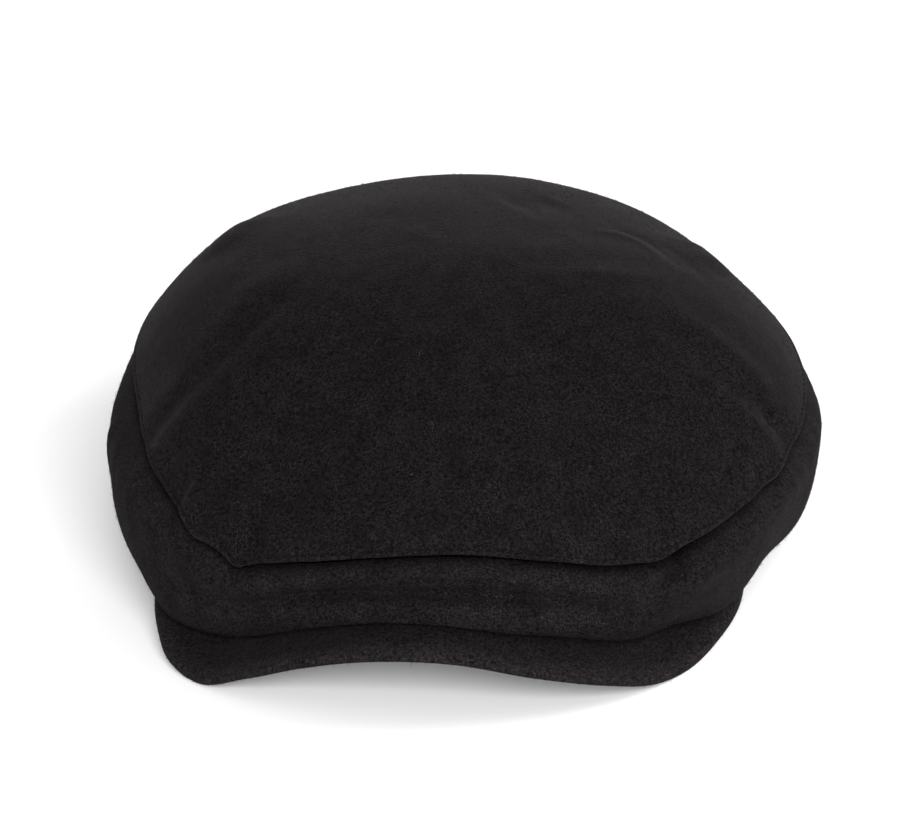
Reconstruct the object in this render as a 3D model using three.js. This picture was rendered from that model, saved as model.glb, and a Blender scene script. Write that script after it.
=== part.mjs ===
// A duckbill cap of dark felted wool, in millimetres: +Z up, the peak towards -Y, the wearer's left towards +X.
//
// It is sewn from three pieces. The top panel is one domed piece of cloth over the crown. The side panel is a
// band round the crown below it: it bulges past the head opening, folds twice over the peak at the front, tucks
// under, and ends in a hem turned up inside the opening. The peak is a short covered board, arched, so that
// the empty cap stands on its two front tips and on the back of its hem.
//
// Every section is taken through the upright axis of the crown. An angle is in degrees round that axis from the
// front, positive towards +X, and a point of a section is its distance r from the axis and its height z.
import * as THREE from 'three';

// The crown's axis stands here, so that the origin is under the middle of the whole cap.
const AXIS_X = -0.2;
const AXIS_Y = -0.6;

const APEX_Z = 105;
const CLOTH = 2;
const SEWN_GAP = 0.3;

// The head opening is an ellipse of head size 58, about 580 mm round, set back from the crown's axis.
const OPENING_HALF_WIDTH = 86;
const OPENING_HALF_LENGTH = 99;
const OPENING_SET_BACK = 24;
const HEM_THICKNESS = 3;
const HEM_HEIGHT = 18;
const HEM_DROP = 5; // the hem hangs this far below the cloth that tucks under to it

// The top panel's cut edge stands this much proud of the side panel.
const SEAM_STEP = 0.6;

const PEAK_THICKNESS = 4;
const PEAK_BOW = 0.03; // how far its upper face rises, as a share of its depth
const REST_GAP = 0.5; // between the peak and the cloth that lies on it
const EDGE_REACH = 10; // cloth this close past the peak's edge is still carried by it

const SECTION_STEP = 4.5;
const PEAK_STEP = 2.25;
const TOP_STEPS = 11;
const WALL_STEPS = 8;
const TUCK_STEPS = 4;
const PEAK_STEPS = 6;

// One row for each section of the crown. seam is where the top panel is sewn to the side panel, bulge is the
// side panel's fullest part, low is the bottom of its roll, and hemZ is the lower edge of the hem. fullness is 1
// where the dome falls evenly from the apex to the seam, and less where it stays high and drops late.
// groove is the depth of the fold that divides the front of the side panel into two rolls.
const SECTIONS = table(
  ['angle', 'seamR', 'seamZ', 'bulgeR', 'bulgeZ', 'lowR', 'lowZ', 'hemZ', 'fullness', 'groove'],
  [
    [-150, 125, 70, 131, 46, 128, 13, 0, 0.6, 0],
    [-120, 117, 66, 123, 45, 117, 13, 0, 0.35, 0],
    [-95, 113, 62, 119, 44, 111, 14, 2, 0.35, 0],
    [-75, 112, 58, 122, 43, 116, 14, 6, 0.4, 0],
    [-60, 118, 54, 126, 39, 120, 13, 11, 0.55, 0],
    [-47, 123, 48, 129, 35, 123, 10, 14, 0.7, 0.5],
    [-35, 126, 43, 130, 31, 122, 12, 20, 0.9, 2],
    [-25, 121, 46, 127, 37, 123, 20, 25, 0.95, 3],
    [-14, 117, 48, 122, 40, 123, 27, 29, 0.95, 3.5],
    [0, 114, 50, 120, 41, 123, 28, 31, 0.95, 3.5],
    [13, 117, 48, 122, 38, 122, 22, 29, 0.95, 3],
    [25, 121, 44, 127, 34, 118, 13, 25, 0.95, 2],
    [35, 123, 46, 129, 34, 112, 10, 20, 0.9, 0.5],
    [47, 121, 50, 126, 38, 112, 8, 14, 0.75, 0],
    [60, 120, 55, 123, 42, 110, 13, 11, 0.6, 0],
    [75, 117, 59, 122, 45, 113, 14, 6, 0.5, 0],
    [95, 113, 63, 119, 46, 112, 14, 2, 0.5, 0],
    [120, 111, 67, 119, 46, 115, 13, 0, 0.6, 0],
    [150, 123, 70, 130, 46, 127, 13, 0, 0.65, 0],
    [180, 130, 70, 137, 46, 134, 13, 0, 0.6, 0],
  ]);

// The lower corner of the peak's rounded edge, one row for each section of the peak.
const PEAK_EDGE = table(
  ['angle', 'edgeR', 'edgeZ'],
  [
    [-76.5, 90, 6], [-68, 106, 7], [-58, 120, 6], [-50, 130, 4], [-44, 137, 1.5], [-38, 139, 0],
    [-30, 138, 7.5], [-22, 137, 15.5], [-14, 137, 21], [-2, 136, 22], [10, 135, 15], [20, 133, 8],
    [28, 129, 2], [36, 124, 0], [44, 119, 2], [52, 114, 4.5], [60, 107, 7], [67, 99, 8], [72, 92, 8],
  ]);

// The long soft creases of the top panel, in plan from the crown's axis: where each starts and ends, how wide
// its slopes are and how deep it is.
const TOP_CREASES = table(
  ['x0', 'y0', 'x1', 'y1', 'width', 'depth'],
  [
    [-90, -48, -66, -26, 8, 2.4],
    [97, -57, 66, -38, 8, 2.4],
    [38, -4, 76, -4, 9, 1.2],
    [-56, -59, -12, -64, 9, 1],
  ]);

// The slanting folds of the side panel at the front corners: from an angle and a share of the way down from the
// seam to the low roll, to another.
const SIDE_FOLDS = table(
  ['angle0', 'down0', 'angle1', 'down1', 'width', 'depth'],
  [
    [-46, 0.15, -37, 0.75, 7, 2.5],
    [34, 0.1, 27, 0.6, 7, 3],
  ]);

// Where the groove and the two rolls of the front lie, as shares of the way from the seam to the low roll.
const ROLL_UPPER = { at: 0.3, half: 0.16, share: 0.45 };
const ROLL_GROOVE = { at: 0.62, half: 0.13, share: -1 };
const ROLL_LOWER = { at: 0.87, half: 0.1, share: 0.45 };
const FOLD_REACH = 2.1; // millimetres round the side panel for each degree
const FOLD_FALL = 36; // millimetres from the seam to the low roll at the front

function table(columns, rows) {
  return rows.map((row) => Object.fromEntries(columns.map((name, k) => [name, row[k]])));
}

const radians = (degrees) => degrees * Math.PI / 180;
const mix = (a, b, t) => a + (b - a) * t;
const add = (a, b) => [a[0] + b[0], a[1] + b[1]];
const scaled = (a, s) => [a[0] * s, a[1] * s];
const shifted = (a, b, s) => [a[0] + b[0] * s, a[1] + b[1] * s];
const unit = (a) => scaled(a, 1 / Math.hypot(a[0], a[1]));
const bell = (x) => Math.exp(-x * x);

// The outward side of a section that runs away from the apex, down the wall and back under.
const outward = (along) => [-along[1], along[0]];

// A smooth closed curve through one column of a table, read at an angle.
function around(rows, column, angle) {
  const count = rows.length;
  const place = (k) => rows[(k + count) % count].angle + 360 * Math.floor(k / count);
  const value = (k) => rows[(k + count) % count][column];
  const span = (k) => place(k + 1) - place(k);
  const rise = (k) => (value(k + 1) - value(k)) / span(k);
  const slope = (k) => (span(k) * rise(k - 1) + span(k - 1) * rise(k)) / (span(k) + span(k - 1));
  const turned = angle < place(0) ? angle + 360 : angle;
  let k = 0;
  while (k < count - 1 && place(k + 1) <= turned) k += 1;
  const t = (turned - place(k)) / span(k);
  return value(k) * (1 + 2 * t) * (1 - t) ** 2 + slope(k) * span(k) * t * (1 - t) ** 2
    + value(k + 1) * t * t * (3 - 2 * t) + slope(k + 1) * span(k) * t * t * (t - 1);
}

// A smooth open curve through a few points of a section, read from 0 at the first to 1 at each next one.
function through(points, u) {
  const k = Math.min(Math.floor(u), points.length - 2);
  const t = u - k;
  const b = points[k];
  const c = points[k + 1];
  const a = points[k - 1] ?? shifted(scaled(b, 2), c, -1);
  const d = points[k + 2] ?? shifted(scaled(c, 2), b, -1);
  return [0, 1].map((i) => 0.5 * (2 * b[i] + (c[i] - a[i]) * t
    + (2 * a[i] - 5 * b[i] + 4 * c[i] - d[i]) * t * t
    + (3 * b[i] - a[i] - 3 * c[i] + d[i]) * t * t * t));
}

function distanceToLine(x, y, x0, y0, x1, y1) {
  const length2 = (x1 - x0) ** 2 + (y1 - y0) ** 2;
  const t = Math.min(1, Math.max(0, ((x - x0) * (x1 - x0) + (y - y0) * (y1 - y0)) / length2));
  return Math.hypot(x - mix(x0, x1, t), y - mix(y0, y1, t));
}

function openingRadius(angle) {
  const s = Math.sin(radians(angle));
  const c = Math.cos(radians(angle));
  const a = (s / OPENING_HALF_WIDTH) ** 2 + (c / OPENING_HALF_LENGTH) ** 2;
  const b = c * OPENING_SET_BACK / OPENING_HALF_LENGTH ** 2;
  const d = 1 - (OPENING_SET_BACK / OPENING_HALF_LENGTH) ** 2;
  return (Math.sqrt(b * b + a * d) - b) / a;
}

const hemZ = (angle) => Math.max(0, around(SECTIONS, 'hemZ', angle));

function topCreaseDepth(r, angle) {
  const x = r * Math.sin(radians(angle));
  const y = -r * Math.cos(radians(angle));
  return TOP_CREASES.reduce((depth, row) => {
    const away = distanceToLine(x, y, row.x0, row.y0, row.x1, row.y1);
    return depth + row.depth * bell(away / row.width);
  }, 0);
}

// The dome of the top panel at a share of the way from the apex to the seam, without its creases.
function dome(angle, share) {
  const drop = APEX_Z - around(SECTIONS, 'seamZ', angle);
  const full = around(SECTIONS, 'fullness', angle);
  const fallen = full * share ** 2 + (1 - full) * share ** 6;
  return [around(SECTIONS, 'seamR', angle) * share, APEX_Z - drop * fallen];
}

// The bottom of the side panel's tuck, where it meets the hem.
const tuckEnd = (angle) => [openingRadius(angle) + HEM_THICKNESS, hemZ(angle) + HEM_DROP];

// The side panel's outer face: 0 at the seam, 1 at the bulge, 2 at the low roll and 3 at the hem.
function sideCurve(angle, u) {
  return through([
    [around(SECTIONS, 'seamR', angle), around(SECTIONS, 'seamZ', angle)],
    [around(SECTIONS, 'bulgeR', angle), around(SECTIONS, 'bulgeZ', angle)],
    [around(SECTIONS, 'lowR', angle), around(SECTIONS, 'lowZ', angle)],
    tuckEnd(angle),
  ], u);
}

function sideRelief(angle, down) {
  const groove = Math.max(0, around(SECTIONS, 'groove', angle));
  const rolls = [ROLL_UPPER, ROLL_GROOVE, ROLL_LOWER].reduce(
    (sum, roll) => sum + groove * roll.share * bell((down - roll.at) / roll.half), 0);
  return SIDE_FOLDS.reduce((sum, row) => {
    const away = distanceToLine(angle * FOLD_REACH, down * FOLD_FALL, row.angle0 * FOLD_REACH,
      row.down0 * FOLD_FALL, row.angle1 * FOLD_REACH, row.down1 * FOLD_FALL);
    return sum - row.depth * bell(away / row.width);
  }, rolls);
}

// The seam's two cut edges at one section, parallel and a sewing gap apart.
function seamAt(angle) {
  const seam = dome(angle, 1);
  const fromTop = unit(shifted(seam, dome(angle, 0.97), -1));
  const intoSide = unit(shifted(sideCurve(angle, 0.06), seam, -1));
  const along = unit(add(fromTop, intoSide));
  const out = outward(along);
  const topEdge = shifted(seam, along, -SEWN_GAP / 2);
  const sideEdge = shifted(seam, along, SEWN_GAP / 2);
  return {
    topOuter: topEdge,
    topInner: shifted(topEdge, out, -CLOTH),
    sideOuter: shifted(sideEdge, out, -SEAM_STEP),
    sideInner: shifted(sideEdge, out, -CLOTH),
  };
}

// The outer points of a section moved in by the cloth's thickness, all but the first and last.
function lining(points) {
  return points.slice(1, -1).map((point, k) => {
    const along = unit(shifted(points[k + 2], points[k], -1));
    return shifted(point, outward(along), -CLOTH);
  });
}

function topSection(angle) {
  const seam = seamAt(angle);
  const outer = [[0, APEX_Z]];
  for (let k = 1; k < TOP_STEPS; k += 1) {
    const share = k / TOP_STEPS;
    const [r, z] = dome(angle, share);
    outer.push([r, z - topCreaseDepth(r, angle)]);
  }
  outer.push(seam.topOuter);
  return [...outer, seam.topInner, ...lining(outer).reverse(), [0, APEX_Z - CLOTH]];
}

function peakEdge(angle) {
  const r = around(PEAK_EDGE, 'edgeR', angle);
  return [r, Math.max(0, around(PEAK_EDGE, 'edgeZ', angle))];
}

// The upper face of the peak, from 0 at its root against the hem to 1 at the start of its rounded edge.
function peakTop(angle, share) {
  const [edgeR, edgeZ] = peakEdge(angle);
  const rootR = openingRadius(angle) + HEM_THICKNESS + SEWN_GAP;
  const rootZ = hemZ(angle) + HEM_DROP - REST_GAP;
  const shoulderR = edgeR - PEAK_THICKNESS / 2;
  const bow = PEAK_BOW * (shoulderR - rootR) * Math.sin(Math.PI * share);
  return [mix(rootR, shoulderR, share), mix(rootZ, edgeZ + PEAK_THICKNESS, share) + bow];
}

function peakSection(angle) {
  const upper = [];
  for (let k = 0; k <= PEAK_STEPS; k += 1) upper.push(peakTop(angle, k / PEAK_STEPS));
  const lower = upper.map(([r, z]) => [r, z - PEAK_THICKNESS]).reverse();
  const [r, z] = upper[PEAK_STEPS];
  const radius = PEAK_THICKNESS / 2;
  const rounded = [45, 0, -45].map((turn) => [
    r + radius * Math.cos(radians(turn)), z - radius + radius * Math.sin(radians(turn))]);
  return [...upper, ...rounded, ...lower];
}

const PEAK_FIRST = PEAK_EDGE[0].angle;
const PEAK_LAST = PEAK_EDGE[PEAK_EDGE.length - 1].angle;

// Lifts a point of the tucked cloth on to the peak, where the peak or its edge lies under it.
function restedOnPeak(angle, [r, z]) {
  if (angle < PEAK_FIRST || angle > PEAK_LAST) return [r, z];
  const [rootR] = peakTop(angle, 0);
  const [shoulderR] = peakTop(angle, 1);
  if (r > shoulderR + EDGE_REACH) return [r, z];
  const share = Math.min(1, Math.max(0, (r - rootR) / (shoulderR - rootR)));
  return [r, Math.max(z, peakTop(angle, share)[1] + REST_GAP)];
}

function sideSection(angle) {
  const seam = seamAt(angle);
  const outer = [seam.sideOuter];
  for (let k = 1; k <= WALL_STEPS; k += 1) {
    const down = k / WALL_STEPS;
    const point = sideCurve(angle, 2 * down);
    const along = unit(shifted(sideCurve(angle, 2 * down + 0.02), sideCurve(angle, 2 * down - 0.02), -1));
    outer.push(restedOnPeak(angle, shifted(point, outward(along), sideRelief(angle, down))));
  }
  for (let k = 1; k < TUCK_STEPS; k += 1) {
    outer.push(restedOnPeak(angle, sideCurve(angle, 2 + k / TUCK_STEPS)));
  }
  const end = tuckEnd(angle);
  outer.push(end);
  const inside = openingRadius(angle);
  const outside = inside + HEM_THICKNESS;
  const bottom = hemZ(angle);
  const hem = [
    [outside, bottom], [inside, bottom], [inside, bottom + HEM_HEIGHT], [outside, bottom + HEM_HEIGHT],
    [outside, end[1] + CLOTH],
  ];
  return [...outer, ...hem, ...lining(outer).reverse(), seam.sideInner];
}

function place(angle, [r, z]) {
  return [AXIS_X + r * Math.sin(radians(angle)), AXIS_Y - r * Math.cos(radians(angle)), z];
}

// A closed skin over sections that have the same number of points each. A turned skin's last section meets
// its first, a looped section's last point meets its first, and ends are closed across a looped section.
function skin(sections, { turned, looped }) {
  const positions = [];
  const numbers = new Map();
  const number = (point) => {
    const key = point.map((value) => value.toFixed(4)).join(' ');
    if (!numbers.has(key)) {
      numbers.set(key, numbers.size);
      positions.push(...point);
    }
    return numbers.get(key);
  };
  const faces = [];
  const face = (a, b, c) => {
    if (a !== b && b !== c && c !== a) faces.push(a, b, c);
  };
  const grid = sections.map((section) => section.map(number));
  const points = grid[0].length;
  for (let i = 0; i < grid.length - (turned ? 0 : 1); i += 1) {
    const here = grid[i];
    const next = grid[(i + 1) % grid.length];
    for (let k = 0; k < points - (looped ? 0 : 1); k += 1) {
      const after = (k + 1) % points;
      face(here[k], next[after], next[k]);
      face(here[k], here[after], next[after]);
    }
  }
  if (!turned) {
    const last = grid[grid.length - 1];
    for (let k = 0; k < points / 2 - 1; k += 1) {
      const other = points - 1 - k;
      face(last[k], last[k + 1], last[other]);
      face(last[k + 1], last[other - 1], last[other]);
      face(grid[0][k], grid[0][other], grid[0][k + 1]);
      face(grid[0][k + 1], grid[0][other], grid[0][other - 1]);
    }
  }
  const geometry = new THREE.BufferGeometry();
  geometry.setAttribute('position', new THREE.Float32BufferAttribute(positions, 3));
  geometry.setIndex(faces);
  geometry.computeVertexNormals();
  return geometry;
}

function sectionsAt(angles, section) {
  return angles.map((angle) => section(angle).map((point) => place(angle, point)));
}

function steps(first, last, step) {
  const count = Math.round((last - first) / step);
  return Array.from({ length: count + 1 }, (_, k) => first + k * step);
}

const ROUND = steps(-180, 180 - SECTION_STEP, SECTION_STEP);
const wool = { roughness: 0.95, metalness: 0 };

function topPanel() {
  const geometry = skin(sectionsAt(ROUND, topSection), { turned: true, looped: false });
  const mesh = new THREE.Mesh(geometry, new THREE.MeshStandardMaterial({ color: 0x1e1c1d, ...wool }));
  mesh.name = 'top_panel';
  return mesh;
}

function sidePanel() {
  const geometry = skin(sectionsAt(ROUND, sideSection), { turned: true, looped: true });
  const mesh = new THREE.Mesh(geometry, new THREE.MeshStandardMaterial({ color: 0x1d1b1c, ...wool }));
  mesh.name = 'side_panel';
  return mesh;
}

function peak() {
  const angles = steps(PEAK_FIRST, PEAK_LAST, PEAK_STEP);
  const geometry = skin(sectionsAt(angles, peakSection), { turned: false, looped: true });
  const mesh = new THREE.Mesh(geometry, new THREE.MeshStandardMaterial({ color: 0x1c1a1b, ...wool }));
  mesh.name = 'peak';
  return mesh;
}

const cap = new THREE.Group();
cap.add(topPanel(), sidePanel(), peak());

export default cap;
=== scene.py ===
# %% [markdown]
# A duckbill cap is sewn from three pieces of dark felted wool. A wide top panel covers the
# crown, one long side panel bulges out below it and turns back under to the head opening,
# and a short board covered in the same cloth sticks out in front as the peak. The solids
# of the part give the sizes. This file builds the cloth that is seen in their place.

import math

import bpy
import numpy as np
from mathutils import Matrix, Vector, noise


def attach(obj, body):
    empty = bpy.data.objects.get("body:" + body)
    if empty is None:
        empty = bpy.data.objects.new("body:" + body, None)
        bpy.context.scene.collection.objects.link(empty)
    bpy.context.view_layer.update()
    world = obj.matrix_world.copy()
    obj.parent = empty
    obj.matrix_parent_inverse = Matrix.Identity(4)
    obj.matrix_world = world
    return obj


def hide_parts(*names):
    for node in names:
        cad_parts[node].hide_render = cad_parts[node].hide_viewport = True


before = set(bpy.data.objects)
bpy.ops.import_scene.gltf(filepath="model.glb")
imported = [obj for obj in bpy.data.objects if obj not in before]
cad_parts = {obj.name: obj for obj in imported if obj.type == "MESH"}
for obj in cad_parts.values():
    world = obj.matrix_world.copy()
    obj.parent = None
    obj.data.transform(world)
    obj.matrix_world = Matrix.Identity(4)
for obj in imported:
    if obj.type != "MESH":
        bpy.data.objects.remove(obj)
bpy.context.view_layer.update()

# %% [markdown]
# The cap is described as a maker would: by sections cut through the crown's upright axis,
# one for each angle round the head. Angle 0 is the front and 90 the wearer's left. Each row
# says how far out and how high the seam, the bulge and the low roll are, in millimetres,
# how high the hem stands, how full the dome is and how deep the groove over the peak is.
# A table like this is easy to change by hand, and every later step reads it.

# %% Write down the sections of the crown
CROWN_AXIS = np.array([-0.2, -0.6])
APEX_HEIGHT = 105.0
COLUMNS = ("angle", "seam_r", "seam_z", "bulge_r", "bulge_z", "low_r", "low_z",
           "hem_z", "fullness", "groove")
SECTIONS = np.array([
    (-150, 125, 70, 131, 46, 128, 13, 0, 0.60, 0),
    (-120, 117, 66, 123, 45, 117, 13, 0, 0.35, 0),
    (-95, 113, 62, 119, 44, 111, 14, 2, 0.35, 0),
    (-75, 112, 58, 122, 43, 116, 14, 6, 0.40, 0),
    (-60, 118, 54, 126, 39, 120, 13, 11, 0.55, 0),
    (-47, 123, 48, 129, 35, 124.5, 8.5, 14, 0.70, 0.5),
    (-35, 126, 42.4, 130, 31, 122, 12, 20, 0.90, 2.0),
    (-25, 122.2, 45.8, 127, 39, 121.8, 20, 25, 0.95, 3.0),
    (-14, 118.8, 49.6, 122.5, 43, 122.5, 25.5, 29, 0.95, 3.5),
    (0, 116.2, 51.1, 120.5, 44, 122.8, 26.3, 31, 0.95, 3.5),
    (13, 118.8, 48.6, 122.5, 40.5, 120.8, 22.5, 29, 0.95, 2.5),
    (25, 121.6, 44.7, 127, 34, 115.5, 13.5, 25, 0.95, 0.8),
    (35, 123, 46.9, 129, 34, 111, 11, 20, 0.90, 0.3),
    (47, 121, 50, 126, 38, 112, 8, 14, 0.75, 0),
    (60, 120, 55, 123, 42, 110, 13, 11, 0.60, 0),
    (75, 117, 59, 122, 45, 113, 14, 6, 0.50, 0),
    (95, 113, 63, 119, 46, 112, 14, 2, 0.50, 0),
    (120, 111, 67, 119, 46, 115, 13, 0, 0.60, 0),
    (150, 123, 70, 130, 46, 127, 13, 0, 0.65, 0),
    (180, 130, 70, 137, 46, 134, 13, 0, 0.60, 0),
], float)
PEAK_COLUMNS = ("angle", "edge_r", "edge_z")
PEAK_EDGE = np.array([
    (-76.5, 90, 6), (-68, 106, 7), (-58, 120, 6), (-50, 130, 4), (-44, 137, 1.5),
    (-38, 139, 0), (-30, 138, 7.5), (-22, 137, 15.5), (-14, 137, 21), (-2, 136, 22),
    (10, 135, 15), (20, 133, 8), (28, 129, 2), (36, 124, 0), (44, 119, 2),
    (52, 114, 4.5), (60, 107, 7), (67, 99, 8), (72, 92, 8),
], float)
print(len(SECTIONS), "sections and", len(PEAK_EDGE), "points along the peak's edge")


# %% Read the tables smoothly at any angle
def around(rows, columns, name, angle):
    """A smooth closed curve through one column, read at one or many angles."""
    at, value = rows[:, 0], rows[:, columns.index(name)]
    at = np.concatenate([at[-2:] - 360, at, at[:3] + 360])
    value = np.concatenate([value[-2:], value, value[:3]])
    span = np.diff(at)
    rise = np.diff(value) / span
    slope = np.zeros_like(value)
    slope[1:-1] = (span[1:] * rise[:-1] + span[:-1] * rise[1:]) / (span[1:] + span[:-1])
    angle = np.asarray(angle, float)
    angle = np.where(angle < rows[0, 0], angle + 360, angle)
    k = np.clip(np.searchsorted(at, angle, side="right") - 1, 1, len(at) - 3)
    t = (angle - at[k]) / span[k]
    return (value[k] * (1 + 2 * t) * (1 - t) ** 2 + slope[k] * span[k] * t * (1 - t) ** 2
            + value[k + 1] * t * t * (3 - 2 * t)
            + slope[k + 1] * span[k] * t * t * (t - 1))


def crown(name, angle):
    """One column of the crown's sections at an angle."""
    return around(SECTIONS, COLUMNS, name, angle)


print("seam at the front, left and back, mm",
      [(round(float(crown("seam_r", a))), round(float(crown("seam_z", a))))
       for a in (0, 90, 180)])

# %% Pinch the seam at its corners
MM_PER_DEGREE = 2.1
SEAM_CORNERS = (
    # angle, spread in degrees, mm outwards and mm upwards
    (-44, 2.8, 1.5, -1.8), (-34.5, 2.1, 1.2, -1.9), (30, 3.0, 0.6, -1.4), (57, 2.4, 0.6, -0.8),
)


def bell(x):
    return np.exp(-x * x)


def seam_corners(angle):
    """How far out and up the seam's pinched corners stand from its smooth curve."""
    near = [bell((angle - at) / spread) for at, spread, _, _ in SEAM_CORNERS]
    return (sum(n * out for n, (_, _, out, _) in zip(near, SEAM_CORNERS)),
            sum(n * up for n, (_, _, _, up) in zip(near, SEAM_CORNERS)))


print(len(SEAM_CORNERS), "corners,", MM_PER_DEGREE, "mm of cloth for each degree")

# %% [markdown]
# The head opening is an ellipse about 580 mm round, set a little back in the crown. The
# side panel turns under to a folded hem that stands on it, so the opening's radius at each
# angle is needed by the side panel and by the peak, which is sewn to the hem's front.

# %% Draw the head opening and the hem
OPENING_HALF_WIDTH, OPENING_HALF_LENGTH, OPENING_SET_BACK = 86.0, 99.0, 24.0
HEM_THICKNESS, HEM_HEIGHT, HEM_DROP = 3.0, 18.0, 5.0
PEAK_THICKNESS, PEAK_BOW, REST_GAP, SEWN_GAP = 4.0, 0.03, 0.5, 0.3


def opening_radius(angle):
    s, c = np.sin(np.radians(angle)), np.cos(np.radians(angle))
    a = (s / OPENING_HALF_WIDTH) ** 2 + (c / OPENING_HALF_LENGTH) ** 2
    b = c * OPENING_SET_BACK / OPENING_HALF_LENGTH ** 2
    d = 1 - (OPENING_SET_BACK / OPENING_HALF_LENGTH) ** 2
    return (np.sqrt(b * b + a * d) - b) / a


def hem_height(angle):
    return np.maximum(0, crown("hem_z", angle))


def placed(angle, r, z):
    """Points of the row frame, in millimetres, from an angle, a distance and a height."""
    s, c = np.sin(np.radians(angle)), np.cos(np.radians(angle))
    r, z = np.asarray(r, float), np.asarray(z, float)
    return np.stack([CROWN_AXIS[0] + r * s, CROWN_AXIS[1] - r * c, z + 0 * s], -1)


turn = np.radians(np.arange(-180, 180, 1.0))
loop = placed(np.degrees(turn), opening_radius(np.degrees(turn)), 0)
girth = np.linalg.norm(np.diff(np.vstack([loop, loop[:1]]), axis=0), axis=1).sum()
print("head opening, mm round", round(float(girth)))

# %% [markdown]
# A cloth panel is a grid of points: one row for each step down the section and one column
# for each angle. Numpy holds the grid, so a fold is an array sum, and the mesh is made at
# the end. These helpers find the way down and the outward side at each point of a grid.


# %% Measure a grid of cloth
def unit(v):
    return v / np.maximum(np.linalg.norm(v, axis=-1, keepdims=True), 1e-9)


def way_down(grid):
    """The unit direction down the section at each point."""
    return unit(np.gradient(grid, axis=0))


def outward(grid):
    """The unit direction out of the cloth at each point of a grid that closes round."""
    down = np.gradient(grid, axis=0)
    along = np.roll(grid, -1, axis=1) - np.roll(grid, 1, axis=1)
    out = np.cross(down, along)
    if np.linalg.norm(out[0], axis=-1).max() < 1e-6:
        out[0] = out[1].mean(axis=0)
    return unit(out)


def ease(t):
    t = np.clip(t, 0, 1)
    return t * t * (3 - 2 * t)


# %% [markdown]
# Soft cloth never lies as one clean surface. Each fold that the eye notices is written as a
# line of points with a width and a height: a ridge is above 0 and a dent below. The height
# fades to nothing towards both ends of the line, as a real crease does, unless the fold is
# caught in a seam there.


# %% Write folds as lines with a width and a height
def along_line(x, y, line):
    """How far each point is from a line, and how far along the line it is."""
    line = np.asarray(line, float)
    seg = np.diff(line, axis=0)
    length = np.linalg.norm(seg, axis=1)
    start = np.concatenate([[0], np.cumsum(length)])
    away = np.full(np.shape(x), 1e9)
    share = np.zeros(np.shape(x))
    for k, (p, d) in enumerate(zip(line[:-1], seg)):
        t = np.clip(((x - p[0]) * d[0] + (y - p[1]) * d[1]) / length[k] ** 2, 0, 1)
        gap = np.hypot(x - p[0] - t * d[0], y - p[1] - t * d[1])
        share = np.where(gap < away, (start[k] + t * length[k]) / start[-1], share)
        away = np.minimum(away, gap)
    return away, share


def folds(x, y, rows):
    """The height of all the folds in a list at points x, y."""
    total = np.zeros(np.shape(x))
    for line, width, height, fade_in, fade_out in rows:
        away, share = along_line(x, y, line)
        fade = np.ones(np.shape(x))
        if fade_in:
            fade = fade * ease(share / fade_in)
        if fade_out:
            fade = fade * ease((1 - share) / fade_out)
        total += height * bell(away / width) * fade
    return total


# %% List the folds of the top panel, seen from above
TOP_FOLDS = [
    # points, then width mm, height mm and the share of the line that each end fades over
    # the left shoulder: a ridge that runs to the seam with a dent behind it
    ([(-57, -29), (-67, -39), (-75, -47), (-85, -54), (-102, -57)], 6.0, 0.2, 0.5, 0),
    ([(-54, -15), (-64, -28), (-74, -38), (-84, -46), (-101, -49)], 5.5, -1.4, 0.4, 0),
    ([(-52, 0), (-64, -10), (-76, -24), (-90, -34)], 8.0, 0.8, 0.4, 0.3),
    # the right shoulder: a sharp ridge that crosses the seam, and a dent behind it
    ([(56, -42), (71, -51), (82, -54), (92, -57), (101, -60), (109, -61)], 2.4, 0.6, 0.5, 0),
    ([(60, -34), (73, -43), (84, -46), (94, -49), (106, -52)], 5.5, -1.3, 0.5, 0),
    ([(62, -22), (76, -34), (90, -39), (104, -41)], 6.0, 0.9, 0.4, 0.2),
    # wrinkles high on the right shoulder
    ([(16, -23), (31, -16), (45, -13), (58, -11), (76, -9)], 3.2, 0.22, 0.4, 0.4),
    ([(10, -14), (31, -8), (50, -3), (70, -2)], 6.0, -0.3, 0.4, 0.4),
    ([(38, 22), (52, 24), (60, 19), (68, 6)], 3.0, 0.5, 0.4, 0.4),
    ([(46, 32), (60, 27), (70, 12), (78, 1)], 3.2, -0.75, 0.4, 0.4),
    ([(62, 33), (72, 20), (84, -2)], 3.0, -0.7, 0.4, 0.4),
    # pinches where the top panel is eased into the seam
    ([(-98, -63), (-95, -70), (-91, -77), (-88, -81)], 3.0, -1.4, 0.2, 0.2),
    ([(-82, -76), (-86, -81), (-92, -85)], 2.4, 1.0, 0.5, 0),
    ([(-86, -85), (-82, -90)], 2.6, -1.1, 0.3, 0.3),
    ([(-62, -88), (-66, -98), (-68, -108)], 3.4, -1.7, 0.4, 0),
    ([(101, -46), (99, -54)], 3.2, -1.2, 0.3, 0.3),
    ([(84, -76), (90, -77), (96, -80)], 1.8, 0.7, 0.5, 0),
    ([(92, -72), (97, -69)], 2.8, -1.0, 0.3, 0.3),
    # a faint crease across the front and the slow swell of the crown
    ([(-60, -59), (-40, -59), (-20, -61), (-4, -65)], 4.0, 0.45, 0.4, 0.5),
    ([(-48, 46), (-20, 40), (6, 48)], 20.0, 1.2, 0.4, 0.4),
    ([(14, 40), (34, 52)], 12.0, -1.0, 0.3, 0.3),
    ([(-68, 54), (-79, 39), (-86, 20)], 8.0, 2.3, 0.4, 0.4),
    ([(73, 52), (82, 32), (88, 14)], 8.0, 2.5, 0.4, 0.4),
]
print(len(TOP_FOLDS), "folds in the top panel")

# %% [markdown]
# The top panel is a low dome. It is built from the apex out: the height falls off from the
# apex to the seam by a share of the square and of the sixth power of the way, which gives
# each section its own fullness. The rows are close together near the seam, where a line of
# stitches pulls a fine groove just inside the edge, and the columns are close at the front.

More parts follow.
